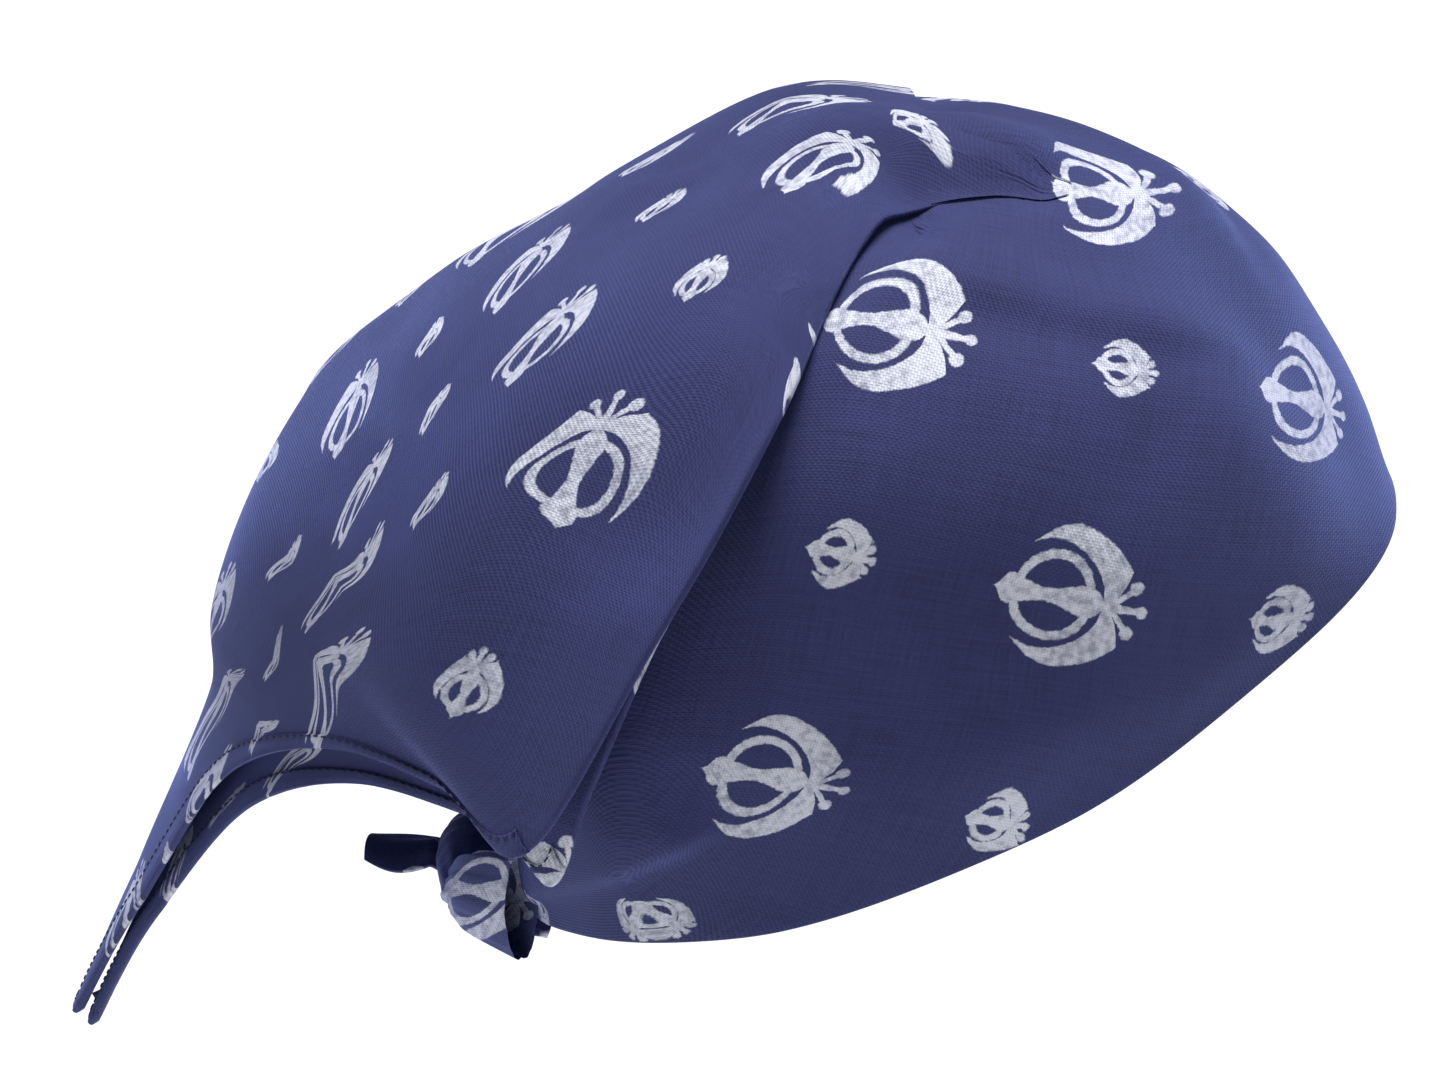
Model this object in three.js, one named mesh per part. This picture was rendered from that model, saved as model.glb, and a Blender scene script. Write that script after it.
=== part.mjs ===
import * as THREE from 'three';

// A square cotton head wrap, folded corner to corner into a double triangle and
// tied at the nape: the tight cap, the two leaves of the back flap with their
// hems, the gathered ties, the knot and its two short ends. Millimetres, +Z up,
// face toward -Y. The origin is the inside of the top of the cap.

// Cloth
const capWall = 1.6;
const leafWall = 1.0;
const clearance = 0.3;
const hemWidth = 5.0;
const hemWall = 1.0;
const hemGap = 0.5;
// The most of the way to the middle that a hem reaches, where the leaf is narrow.
const hemMost = 0.4;

// Cap
const capHalfWidth = 81;
const capFront = 104;
const capBack = 86;
const capDepth = 182;

// Half the opening between the side panels at the back, as shares of a turn.
const slitNarrow = 0.008;
const slitWide = 0.05;

// Back flap
const flapHalfWidth = 102;
const flapReach = 176;
const flapDrop = 240;
const leafParting = 6;
const innerLeafShow = 11;
// How late the inner leaf parts from the outer one on its way to the hem.
const partingLateness = 3;

// Ties, knot and ends
const tieHalfHeight = 13;
const tieHalfThick = 5;
const tieFlute = 0.1;
const tieFlutes = 6;
const knotHalfWidth = 15;
const knotHalfHeight = 10;
const knotHalfDepth = 9;
const knotWrap = 0.07;
const knotWraps = 4;
const knotBlunt = 0.6;
const knotBack = 0.965;
const endWall = 2.4;
const endNeck = 0.7;
const backEndLength = 14;
const backEndWidth = 15;
const backEndCurl = 3;
const backEndTurn = 75;
const frontEndLength = 15;
const frontEndWidth = 12;
const frontEndCurl = 1;
const frontEndTurn = -82;

// Mesh density, and how near two corners count as one
const samePoint = 0.0001;
const capColumns = 48;
const capLevels = 12;
const flapColumns = 28;
const flapRowsPerSection = 3;
const cornerSteps = 2;
const tieSides = 20;
const tieSteps = 12;
const knotRings = 14;
const endSteps = 6;

// A table: the names of its columns, then its rows.
function table(columns, ...rows) {
  return rows.map((row) => Object.fromEntries(columns.map((column, k) => [column, row[k]])));
}

// A row for each meridian of the cap's inside, from the middle of the forehead
// round to the nape. Out is a share of the cap's reach in that direction, down a
// share of its depth: at the top, the shoulder, the widest place and the folded edge.
const capMeridians = table(
  ['topOut', 'topDown', 'shoulderOut', 'shoulderDown', 'wideOut', 'wideDown', 'edgeOut', 'edgeDown'],
  [0.45, 0.039, 0.79, 0.213, 0.955, 0.356, 1.04, 0.423],
  [0.47, 0.039, 0.86, 0.198, 1.03, 0.377, 1.045, 0.458],
  [0.49, 0.044, 0.9, 0.188, 1.1, 0.428, 1.07, 0.586],
  [0.48, 0.044, 0.875, 0.203, 1.03, 0.479, 1, 0.75],
  [0.44, 0.044, 0.815, 0.208, 0.98, 0.509, 0.91, 0.852],
  [0.36, 0.05, 0.7, 0.234, 0.93, 0.53, 0.84, 0.939],
  [0.32, 0.05, 0.64, 0.244, 0.92, 0.55, 0.82, 0.985]
);

// A row for each section across the flap, from its front end on the crown to the
// hanging corner: the pleated edges of the right and the left side, further down
// the hems, the crest where each side panel turns over, and the middle. Back and
// down are shares of the flap's reach and drop, out of its half width.
const flapSections = table(
  [
    'rightOut', 'rightBack', 'rightDown', 'crestOut', 'crestBack', 'crestDown',
    'midBack', 'midDown', 'leftOut', 'leftBack', 'leftDown'
  ],
  [0.06, -0.246, 0, 0.03, -0.246, 0, -0.249, 0, 0.07, -0.235, 0.001],
  [0.32, -0.06, -0.005, 0.16, -0.03, -0.017, 0.02, -0.019, 0.33, -0.08, 0],
  [0.72, 0.03, 0.105, 0.41, 0.165, 0.038, 0.236, 0.045, 0.7, 0.05, 0.1],
  [0.907, 0.142, 0.278, 0.5, 0.365, 0.182, 0.4, 0.131, 0.92, 0.2, 0.319],
  [0.92, 0.289, 0.492, 0.475, 0.545, 0.273, 0.53, 0.197, 1, 0.4, 0.481],
  [0.74, 0.41, 0.487, 0.36, 0.69, 0.375, 0.66, 0.278, 0.9, 0.56, 0.471],
  [0.55, 0.58, 0.512, 0.25, 0.765, 0.471, 0.715, 0.39, 0.67, 0.69, 0.461],
  [0.345, 0.74, 0.609, 0.14, 0.79, 0.59, 0.79, 0.58, 0.38, 0.81, 0.57],
  [0.19, 0.86, 0.775, 0.08, 0.888, 0.778, 0.893, 0.782, 0.2, 0.87, 0.765],
  [0.04, 0.993, 0.99, 0.02, 0.998, 0.998, 1, 1, 0.04, 0.994, 0.99]
);
const firstHemSection = 4;

// A row for each section of a tie, from the side of the cap to the knot. Out, back
// and down are shares of the cap's half width, back and depth; height and thick of
// the tie's own; lean is how far its flat side turns toward the middle.
const tieSections = table(
  ['out', 'back', 'down', 'height', 'thick', 'lean'],
  [0.56, 0.737, 0.9, 1.0, 0.6, 0.7],
  [0.36, 0.893, 0.945, 0.8, 0.9, 0.4],
  [0.1885, knotBack, 1.0, 0.55, 1.0, 0]
);

const navy = new THREE.Color(0.17, 0.17, 0.37);
const lightNavy = new THREE.Color(0.27, 0.3, 0.6);

const v = (x, y, z) => new THREE.Vector3(x, y, z);

function cloth(color) {
  return new THREE.MeshStandardMaterial({ color, roughness: 0.85, metalness: 0 });
}

function named(name, geometry, color) {
  const mesh = new THREE.Mesh(geometry, cloth(color));
  mesh.name = name;
  return mesh;
}

// The normals of a grid of points, by central differences, facing out.
function gridNormals(grid) {
  const lastRow = grid.length - 1;
  const lastColumn = grid[0].length - 1;
  return grid.map((row, r) => row.map((_, c) => {
    const up = grid[Math.max(r - 1, 0)][c];
    const down = grid[Math.min(r + 1, lastRow)][c];
    const before = row[Math.max(c - 1, 0)];
    const after = row[Math.min(c + 1, lastColumn)];
    return after.clone().sub(before).cross(down.clone().sub(up)).normalize();
  }));
}

function moved(grid, normals, by) {
  return grid.map((row, r) => row.map((p, c) => p.clone().addScaledVector(normals[r][c], by)));
}

// A closed wall between two grids of the same size, the first one outside.
function wallBetween(outer, inner) {
  const rows = outer.length;
  const columns = outer[0].length;
  const points = [...outer.flat(), ...inner.flat()];
  const at = (side, r, c) => side * rows * columns + r * columns + c;
  const index = [];
  const triangle = (...corners) => {
    const [a, b, c] = corners.map((k) => points[k]);
    const apart = Math.min(a.distanceTo(b), b.distanceTo(c), c.distanceTo(a));
    if (apart > samePoint) index.push(...corners);
  };
  const quad = (a, b, c, d) => {
    triangle(a, b, c);
    triangle(a, c, d);
  };
  for (let r = 0; r + 1 < rows; r++) {
    for (let c = 0; c + 1 < columns; c++) {
      quad(at(0, r, c), at(0, r, c + 1), at(0, r + 1, c + 1), at(0, r + 1, c));
      quad(at(1, r, c), at(1, r + 1, c), at(1, r + 1, c + 1), at(1, r, c + 1));
    }
    const last = columns - 1;
    quad(at(0, r, 0), at(0, r + 1, 0), at(1, r + 1, 0), at(1, r, 0));
    quad(at(0, r, last), at(1, r, last), at(1, r + 1, last), at(0, r + 1, last));
  }
  for (let c = 0; c + 1 < columns; c++) {
    const last = rows - 1;
    quad(at(0, 0, c), at(1, 0, c), at(1, 0, c + 1), at(0, 0, c + 1));
    quad(at(0, last, c), at(0, last, c + 1), at(1, last, c + 1), at(1, last, c));
  }
  const geometry = new THREE.BufferGeometry().setFromPoints(points);
  geometry.setIndex(index);
  geometry.computeVertexNormals();
  return geometry;
}

function along(points, count) {
  return new THREE.CatmullRomCurve3(points, false, 'centripetal').getSpacedPoints(count);
}

// The values of a table a share of the way down it, on a smooth curve through its rows.
function rowAt(rows, share) {
  return Object.fromEntries(Object.keys(rows[0]).map((column) => {
    const curve = new THREE.CatmullRomCurve3(rows.map((row, k) => v(k, row[column], 0)));
    return [column, curve.getPoint(Math.min(Math.max(share, 0), 1)).y];
  }));
}

// The cap: each level is a closed curve through the meridians, cut open at the
// back where the two side panels come together under the flap.
function capInside() {
  const turns = 2 * (capMeridians.length - 1);
  const profiles = Array.from({ length: turns }, (_, k) => {
    const m = capMeridians[Math.min(k, turns - k)];
    const turn = (2 * Math.PI * k) / turns;
    const reachY = Math.cos(turn) > 0 ? capFront : capBack;
    const at = (out, down) => v(
      -Math.sin(turn) * capHalfWidth * out,
      -Math.cos(turn) * reachY * out,
      -capDepth * down
    );
    return along([
      v(0, 0, 0),
      at(m.topOut, m.topDown),
      at(m.shoulderOut, m.shoulderDown),
      at(m.wideOut, m.wideDown),
      at(m.edgeOut, m.edgeDown)
    ], capLevels);
  });
  return Array.from({ length: capLevels + 1 }, (_, level) => {
    const ring = new THREE.CatmullRomCurve3(profiles.map((p) => p[level]), true, 'centripetal');
    const share = level / capLevels;
    const slit = slitNarrow + (slitWide - slitNarrow) * Math.sin(Math.PI * share);
    return Array.from({ length: capColumns + 1 }, (_, c) => {
      const turn = 0.5 + slit + (1 - 2 * slit) * (c / capColumns);
      return level === 0 ? v(0, 0, 0) : ring.getPoint(turn % 1);
    });
  });
}

function capWrap() {
  const inside = capInside();
  const normals = gridNormals(inside);
  normals[0] = normals[0].map(() => v(0, 0, 1));
  return wallBetween(moved(inside, normals, capWall), inside);
}

// The outside of the flap as a grid, each row from the right edge to the left.
function flapGrid() {
  const rows = (flapSections.length - 1) * flapRowsPerSection;
  const at = (out, back, down) => v(flapHalfWidth * out, flapReach * back, -flapDrop * down);
  return Array.from({ length: rows + 1 }, (_, r) => {
    const s = rowAt(flapSections, r / rows);
    return along([
      at(-s.rightOut, s.rightBack, s.rightDown),
      at(-s.crestOut, s.crestBack, s.crestDown),
      at(0, s.midBack, s.midDown),
      at(s.crestOut, s.crestBack, s.crestDown),
      at(s.leftOut, s.leftBack, s.leftDown)
    ], flapColumns);
  });
}

// A leaf of the flap: the outside grid moved in, and let down toward the hem.
function leafGrid(inward, letDown, parting) {
  const grid = flapGrid();
  const normals = gridNormals(grid);
  const hemRow = firstHemSection * flapRowsPerSection;
  return grid.map((row, r) => row.map((p, c) => {
    const share = Math.min(r / hemRow, 1) ** partingLateness;
    const q = p.clone().addScaledVector(normals[r][c], -inward);
    return q.add(v((-parting * share * q.x) / flapHalfWidth, -parting * share, -letDown * share));
  }));
}

function leaf(grid) {
  return wallBetween(grid, moved(grid, gridNormals(grid), -leafWall));
}

// A hem: a folded strip along the under side of a leaf's lower edges, from one
// pleated edge round the hanging corner to the other.
function hem(grid) {
  const normals = gridNormals(grid);
  const hemRow = firstHemSection * flapRowsPerSection;
  const lastRow = grid.length - 1;
  const middle = flapColumns / 2;
  const under = (r, c) => grid[r][c].clone().addScaledVector(normals[r][c], -leafWall - hemGap);
  const path = [];
  for (let r = hemRow; r < lastRow; r++) path.push([r, 0]);
  for (let c = 0; c <= flapColumns; c += flapColumns / cornerSteps) path.push([lastRow, c]);
  for (let r = lastRow - 1; r >= hemRow; r--) path.push([r, flapColumns]);
  const heart = under(lastRow - 1, middle);
  const inset = ([r, c]) => {
    const edge = under(r, c);
    if (r === lastRow) return edge.lerp(heart, Math.min(hemWidth / edge.distanceTo(heart), 1));
    const step = c < middle ? 1 : -1;
    const half = Array.from({ length: middle + 1 }, (_, k) => under(r, c + step * k));
    const curve = new THREE.CatmullRomCurve3(half, false, 'centripetal');
    return curve.getPointAt(Math.min(hemWidth / curve.getLength(), hemMost));
  };
  const strip = [path.map(inset), path.map(([r, c]) => under(r, c))];
  const down = path.map(([r, c]) => normals[r][c]);
  return wallBetween(strip, strip.map((line) => (
    line.map((p, k) => p.clone().addScaledVector(down[k], -hemWall))
  )));
}

// A tie: a gathered band from the side of the cap to the knot, its section
// fluted into pleats.
function tie(side) {
  const rings = Array.from({ length: tieSteps + 1 }, (_, step) => {
    const s = rowAt(tieSections, step / tieSteps);
    const centre = v(side * capHalfWidth * s.out, capBack * s.back, -capDepth * s.down);
    return Array.from({ length: tieSides }, (_, k) => {
      const turn = (2 * Math.PI * k) / tieSides;
      const flute = 1 + tieFlute * Math.cos(tieFlutes * turn);
      const up = tieHalfHeight * s.height * Math.sin(turn) * flute;
      const out = tieHalfThick * s.thick * Math.cos(turn) * flute;
      return centre.clone().add(v(side * out * s.lean, out, up));
    });
  });
  return closedTube(side > 0 ? rings.map((ring) => ring.reverse()) : rings);
}

// A closed body through rings of points, with flat ends.
function closedTube(rings) {
  const sides = rings[0].length;
  const points = rings.flat();
  const index = [];
  for (let r = 0; r + 1 < rings.length; r++) {
    for (let k = 0; k < sides; k++) {
      const next = (k + 1) % sides;
      const a = r * sides + k;
      const b = r * sides + next;
      index.push(a, b, b + sides, a, b + sides, a + sides);
    }
  }
  for (let k = 1; k + 1 < sides; k++) {
    const end = points.length - sides;
    index.push(0, k + 1, k);
    index.push(end, end + k, end + k + 1);
  }
  const geometry = new THREE.BufferGeometry().setFromPoints(points);
  geometry.setIndex(index);
  geometry.computeVertexNormals();
  return geometry;
}

// The knot: a rounded lump, wider than tall, with wraps crossing it.
function knot() {
  const rings = Array.from({ length: knotRings }, (_, r) => {
    const lat = -Math.PI / 2 + (Math.PI * (r + 0.5)) / knotRings;
    const wrap = Math.cos(lat) ** knotBlunt * (1 + knotWrap * Math.cos(knotWraps * lat));
    return Array.from({ length: tieSides }, (_, k) => {
      const turn = (2 * Math.PI * k) / tieSides;
      return v(
        knotHalfWidth * Math.sin(lat),
        knotHalfDepth * Math.cos(turn) * wrap,
        knotHalfHeight * Math.sin(turn) * wrap
      );
    });
  });
  return closedTube(rings);
}

// A short free end that points down, rounded across and curling at its tip.
function end(length, width, curl) {
  const outer = Array.from({ length: endSteps + 1 }, (_, r) => {
    const share = r / endSteps;
    const half = (width / 2) * (endNeck + (1 - endNeck) * Math.sin(Math.PI * share));
    return Array.from({ length: endSteps + 1 }, (_, c) => {
      const across = (2 * c) / endSteps - 1;
      return v(half * across, endWall * (1 - across * across) + curl * share * share, -length * share);
    });
  });
  return wallBetween(outer, outer.map((row) => row.map((p) => p.clone().add(v(0, -endWall, 0)))));
}

const group = new THREE.Group();
const outerLeafGrid = leafGrid(0, 0, 0);
const innerLeafGrid = leafGrid(leafWall + clearance, innerLeafShow, leafParting);
group.add(named('cap_wrap', capWrap(), navy));
group.add(named('outer_flap', leaf(outerLeafGrid), lightNavy));
group.add(named('inner_flap', leaf(innerLeafGrid), navy));
group.add(named('outer_hem', hem(outerLeafGrid), lightNavy));
group.add(named('inner_hem', hem(innerLeafGrid), navy));
group.add(named('right_tie', tie(-1), navy));
group.add(named('left_tie', tie(1), navy));

const knotGroup = new THREE.Group();
knotGroup.position.set(0, capBack * knotBack, -capDepth);
knotGroup.add(named('knot', knot(), navy));

// One end points back from the knot, the other forward from under it.
const backEnd = named('back_end', end(backEndLength, backEndWidth, backEndCurl), navy);
backEnd.rotation.x = THREE.MathUtils.degToRad(backEndTurn);
backEnd.position.y = knotHalfDepth * (1 + knotWrap) + clearance + endWall * Math.cos(backEnd.rotation.x);
const frontEnd = named('front_end', end(frontEndLength, frontEndWidth, frontEndCurl), navy);
frontEnd.rotation.x = THREE.MathUtils.degToRad(frontEndTurn);
frontEnd.position.z = endWall * Math.sin(frontEnd.rotation.x) - knotHalfHeight - clearance;
knotGroup.add(backEnd, frontEnd);
group.add(knotGroup);

export default group;
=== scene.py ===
import math

import bpy
import numpy as np
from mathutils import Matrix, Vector
from mathutils.bvhtree import BVHTree


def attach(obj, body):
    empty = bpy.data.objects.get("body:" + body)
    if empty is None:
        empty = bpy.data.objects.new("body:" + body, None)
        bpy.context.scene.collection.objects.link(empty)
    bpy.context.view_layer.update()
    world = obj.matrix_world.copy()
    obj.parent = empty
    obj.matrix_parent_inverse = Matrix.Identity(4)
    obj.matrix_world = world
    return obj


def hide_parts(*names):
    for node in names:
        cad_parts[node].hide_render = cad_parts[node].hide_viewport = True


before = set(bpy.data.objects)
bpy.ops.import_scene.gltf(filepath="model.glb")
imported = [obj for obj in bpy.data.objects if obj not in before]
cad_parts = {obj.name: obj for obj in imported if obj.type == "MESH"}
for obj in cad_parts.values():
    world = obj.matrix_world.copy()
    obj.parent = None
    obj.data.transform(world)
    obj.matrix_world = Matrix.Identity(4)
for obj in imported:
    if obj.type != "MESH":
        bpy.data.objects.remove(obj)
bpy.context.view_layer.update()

# Lengths are millimetres here, and metres where they reach Blender.
MM = 0.001

# The cloth: a square with a narrow hem, printed on a square lattice
PITCH = 45.0
CENTRE_LINE = -2.03
CAP_WALL = 1.6
CAP_SHEET = 0.8
LEAF_WALL = 0.6
FOLD_RADIUS = 0.9
FOLD_RETURN = 12.0
HEM_WIDTH = 4.6
HEM_RADIUS = 0.55
STITCH_STEP = 2.6
STITCH_LENGTH = 1.7
STITCH_THICK = 0.4

# Cap and flap, with the sizes that the frame has
CAP_HALF_WIDTH = 81.0
CAP_FRONT = 104.0
CAP_BACK = 86.0
CAP_DEPTH = 182.0
SLIT_NARROW = 0.008
SLIT_WIDE = 0.05
FLAP_HALF_WIDTH = 102.0
FLAP_REACH = 176.0
FLAP_DROP = 240.0
FIRST_HEM_SECTION = 4
INNER_SHOW = 11.0
PARTING = 6.0
PARTING_LATENESS = 3
KNOT_HALF_WIDTH = 15.0
KNOT_HALF_HEIGHT = 10.0
KNOT_HALF_DEPTH = 9.0
KNOT_BACK = 0.965
KNOT_WRAP = 0.07

# Cap inside, a row for each meridian from forehead to nape: out and down at the
# top, the shoulder, the widest place and the folded edge.
CAP_MERIDIANS = [
    [(0.45, 0.039), (0.79, 0.213), (0.955, 0.356), (1.04, 0.423)],
    [(0.47, 0.039), (0.86, 0.198), (1.03, 0.377), (1.045, 0.458)],
    [(0.49, 0.044), (0.9, 0.188), (1.1, 0.428), (1.07, 0.586)],
    [(0.48, 0.044), (0.875, 0.203), (1.03, 0.479), (1.0, 0.75)],
    [(0.44, 0.044), (0.815, 0.208), (0.98, 0.509), (0.91, 0.852)],
    [(0.36, 0.05), (0.7, 0.234), (0.93, 0.53), (0.84, 0.939)],
    [(0.32, 0.05), (0.64, 0.244), (0.92, 0.55), (0.82, 0.985)],
]

# Flap, a row for each section from the crown to the hanging corner: right edge
# out, back, down; crest out, back, down; middle back, down; left edge out, back, down.
FLAP_SECTIONS = [
    (0.02, -0.236, 0.0, 0.01, -0.238, 0.0, -0.24, 0.0, 0.03, -0.235, 0.001),
    (0.17, -0.055, -0.005, 0.09, -0.03, -0.012, 0.0, -0.014, 0.17, -0.055, 0.0),
    (0.72, 0.03, 0.105, 0.41, 0.165, 0.038, 0.236, 0.045, 0.7, 0.05, 0.1),
    (0.907, 0.142, 0.278, 0.5, 0.365, 0.182, 0.4, 0.131, 0.92, 0.2, 0.319),
    (0.92, 0.289, 0.492, 0.475, 0.545, 0.273, 0.53, 0.197, 1.0, 0.4, 0.481),
    (0.74, 0.41, 0.487, 0.36, 0.69, 0.375, 0.66, 0.278, 0.9, 0.56, 0.471),
    (0.55, 0.58, 0.512, 0.25, 0.765, 0.471, 0.715, 0.39, 0.67, 0.69, 0.461),
    (0.345, 0.74, 0.609, 0.14, 0.79, 0.59, 0.79, 0.58, 0.38, 0.81, 0.57),
    (0.19, 0.86, 0.775, 0.08, 0.888, 0.778, 0.893, 0.782, 0.2, 0.87, 0.765),
    (0.04, 0.993, 0.99, 0.02, 0.998, 0.998, 1.0, 1.0, 0.04, 0.994, 0.99),
]

# Camera, at the photo's angle
VIEW_TURN = math.radians(282)
VIEW_RISE = math.radians(30)
PICTURE = (1445.0, 1090.0)
PIXEL = 0.2
CAMERA_FAR = 1500.0
AIM = np.array([-50.1, 19.6, -68.8])
BACK = np.array([
    math.sin(VIEW_TURN) * math.cos(VIEW_RISE),
    -math.cos(VIEW_TURN) * math.cos(VIEW_RISE),
    math.sin(VIEW_RISE),
])
RIGHT = np.array([math.cos(VIEW_TURN), math.sin(VIEW_TURN), 0.0])
UP = np.cross(BACK, RIGHT)

# Marks on the printed figure: millimetres along its axis and across it, in the large size.
# Every second figure is SMALL times as large, and its ink spreads a little further.
MARKS = {
    "middle": (0, 0), "tip": (-16.4, 0), "knob": (15, 0), "wing": (-10, 10.5),
    "wing2": (-10, -10.5), "corner": (10.2, 7.6), "corner2": (10.2, -7.6), "side2": (-1, -13.8),
}
SMALL = 0.42
SMALL_SPREAD = 0.25

# Where the photo shows marks of the print: the figure's place on the lattice, in pitches,
# the mark, and its place in the picture, in pixels.
CAP_PRINT = [
    (-1, -1, "tip", 823, 318), (-1, -1, "knob", 977, 341), (-1, -1, "wing", 867, 270),
    (-1, -1, "wing2", 840, 364), (-1, -1, "corner", 962, 301), (-1, -1, "corner2", 944, 375),
    (-2, -1, "middle", 1127, 369),
    (-3, -1, "tip", 1259, 387), (-3, -1, "knob", 1343, 418), (-3, -1, "wing", 1281, 347),
    (-3, -1, "wing2", 1273, 439), (-3, -1, "corner", 1333, 381),
    (-4, -1, "tip", 1386, 450),
    (-2, 0, "tip", 1054, 191), (-2, 0, "knob", 1177, 188), (-2, 0, "wing2", 1064, 228),
    (-2, 0, "corner2", 1153, 226),
    (-1, -2, "tip", 804, 548), (-1, -2, "knob", 872, 563),
    (-2, -2, "tip", 995, 585), (-2, -2, "knob", 1146, 614), (-2, -2, "wing", 1039, 539),
    (-2, -2, "wing2", 1015, 638), (-2, -2, "corner", 1131, 573), (-2, -2, "corner2", 1114, 648),
    (-3, -2, "middle", 1275, 623),
    (-1, -3, "tip", 704, 768), (-1, -3, "knob", 845, 791), (-1, -3, "wing", 746, 727),
    (-1, -3, "wing2", 712, 823), (-1, -3, "corner", 835, 763), (-1, -3, "corner2", 808, 814),
    (-2, -3, "tip", 965, 817), (-2, -3, "knob", 1026, 826),
    (-1, -4, "tip", 636, 902), (-1, -4, "knob", 688, 933),
]
TIE_PRINT = [(0, -4, "tip", 442, 893), (0, -4, "wing", 476, 862), (0, -4, "corner", 533, 889)]
FLAP_PRINT = [
    (0, 0, "tip", 785, 193), (0, 0, "knob", 875, 140), (0, 0, "wing", 763, 188),
    (0, 0, "wing2", 846, 170),
    (-1, 1, "middle", 785, 101), (-1, 0, "tip", 893, 125), (-1, 0, "knob", 933, 121),
    (1, 0, "tip", 685, 301), (1, 0, "knob", 717, 256), (1, 0, "wing", 675, 294),
    (1, 0, "wing2", 708, 290),
    (0, 1, "middle", 663, 205), (-1, 2, "middle", 643, 164),
    (2, 0, "tip", 557, 528), (2, 0, "knob", 621, 391), (2, 0, "wing", 506, 485),
    (2, 0, "wing2", 611, 521), (2, 0, "corner", 579, 411), (2, 0, "corner2", 647, 417),
    (2, 0, "side2", 654, 453),
    (1, 1, "tip", 508, 387), (1, 1, "knob", 584, 287), (1, 1, "wing", 492, 379),
    (1, 1, "wing2", 552, 354), (1, 1, "corner", 550, 311),
    (0, 2, "middle", 527, 262), (-1, 3, "middle", 495, 237),
    (3, 0, "tip", 452, 717), (3, 0, "knob", 484, 649), (3, 0, "wing", 435, 695),
    (3, 0, "wing2", 483, 711),
    (2, 1, "tip", 413, 527), (2, 1, "knob", 444, 474),
    (1, 2, "middle", 433, 407), (0, 3, "middle", 431, 337), (-1, 4, "middle", 411, 289),
    (3, 1, "middle", 318, 662), (2, 2, "middle", 338, 578),
    (1, 3, "tip", 340, 549), (1, 3, "knob", 389, 441), (1, 3, "wing", 332, 544),
    (0, 4, "tip", 335, 459), (0, 4, "knob", 370, 360), (0, 4, "wing", 322, 452),
    (0, 4, "wing2", 361, 426),
    (-1, 5, "middle", 330, 340),
    (3, 2, "middle", 259, 724), (2, 3, "middle", 276, 662), (1, 4, "middle", 290, 561),
    (0, 5, "middle", 262, 459), (3, 3, "middle", 195, 800),
    (2, 4, "tip", 188, 783), (2, 4, "knob", 242, 670), (2, 4, "wing", 175, 767),
    (1, 5, "tip", 188, 658), (1, 5, "knob", 231, 563),
    (2, 5, "middle", 156, 766), (3, 5, "middle", 131, 905),
]

# The same for bare places of the lattice, along the folded edges
CAP_EDGE_PRINT = [
    (-3.45, -1.72, 1385, 545), (-3.08, -2.09, 1292, 640), (-2.6, -2.57, 1165, 745),
    (-2.1, -3.07, 1022, 848), (-1.6, -3.57, 850, 908), (-1.1, -4.07, 672, 938),
]
FLAP_EDGE_PRINT = [
    (1.0, -0.6, 826, 284), (1.3, -0.6, 790, 357), (1.6, -0.6, 757, 425),
    (2.0, -0.57, 712, 507), (3.0, -0.5, 590, 720), (3.47, -0.46, 532, 815),
]


def lattice_place(i, j, mark):
    """A mark's place on the lattice, in pitches."""
    along, across = MARKS[mark]
    size = SMALL if (i + j) % 2 else 1.0
    return i - size * along / PITCH, j + size * across / PITCH


# Curves and grids

def catmull(points, at, closed=False):
    """Places on a centripetal Catmull-Rom curve; at runs from 0 to 1 over the whole curve."""
    p = np.asarray(points, float)
    spans = len(p) if closed else len(p) - 1
    if closed:
        p = np.concatenate([p[-1:], p, p[:2]])
    else:
        p = np.concatenate([2 * p[:1] - p[1:2], p, 2 * p[-1:] - p[-2:-1]])
    at = np.asarray(at, float)
    where = (at % 1 if closed else np.clip(at, 0, 1)) * spans
    k = np.minimum(where.astype(int), spans - 1)
    f = (where - k)[:, None]
    a, b, c, d = p[k], p[k + 1], p[k + 2], p[k + 3]

    def gap(x, y):
        return np.maximum(np.linalg.norm(y - x, axis=1), 1e-9)[:, None] ** 0.5

    g0, g1, g2 = gap(a, b), gap(b, c), gap(c, d)
    m1 = ((b - a) / g0 - (c - a) / (g0 + g1) + (c - b) / g1) * g1
    m2 = ((c - b) / g1 - (d - b) / (g1 + g2) + (d - c) / g2) * g1
    h1 = 2 * f**3 - 3 * f**2
    return b * (h1 + 1) + m1 * (f**3 - 2 * f**2 + f) - c * h1 + m2 * (f**3 - f**2)


def lengths(points):
    steps = np.linalg.norm(np.diff(points, axis=0), axis=1)
    return np.concatenate([[0], np.cumsum(steps)])


def spaced(points, count):
    """count + 1 points evenly along the curve through the points."""
    fine = catmull(points, np.linspace(0, 1, 300))
    along = lengths(fine)
    want = np.linspace(0, along[-1], count + 1)
    return np.stack([np.interp(want, along, fine[:, k]) for k in range(3)], axis=1)


def smooth(x, low, high):
    t = np.clip((x - low) / (high - low), 0, 1)
    return t * t * (3 - 2 * t)


def unit(v):
    return v / np.maximum(np.linalg.norm(v, axis=-1, keepdims=True), 1e-9)


def grid_normals(grid):
    return unit(np.cross(np.gradient(grid, axis=1), np.gradient(grid, axis=0)))


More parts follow.
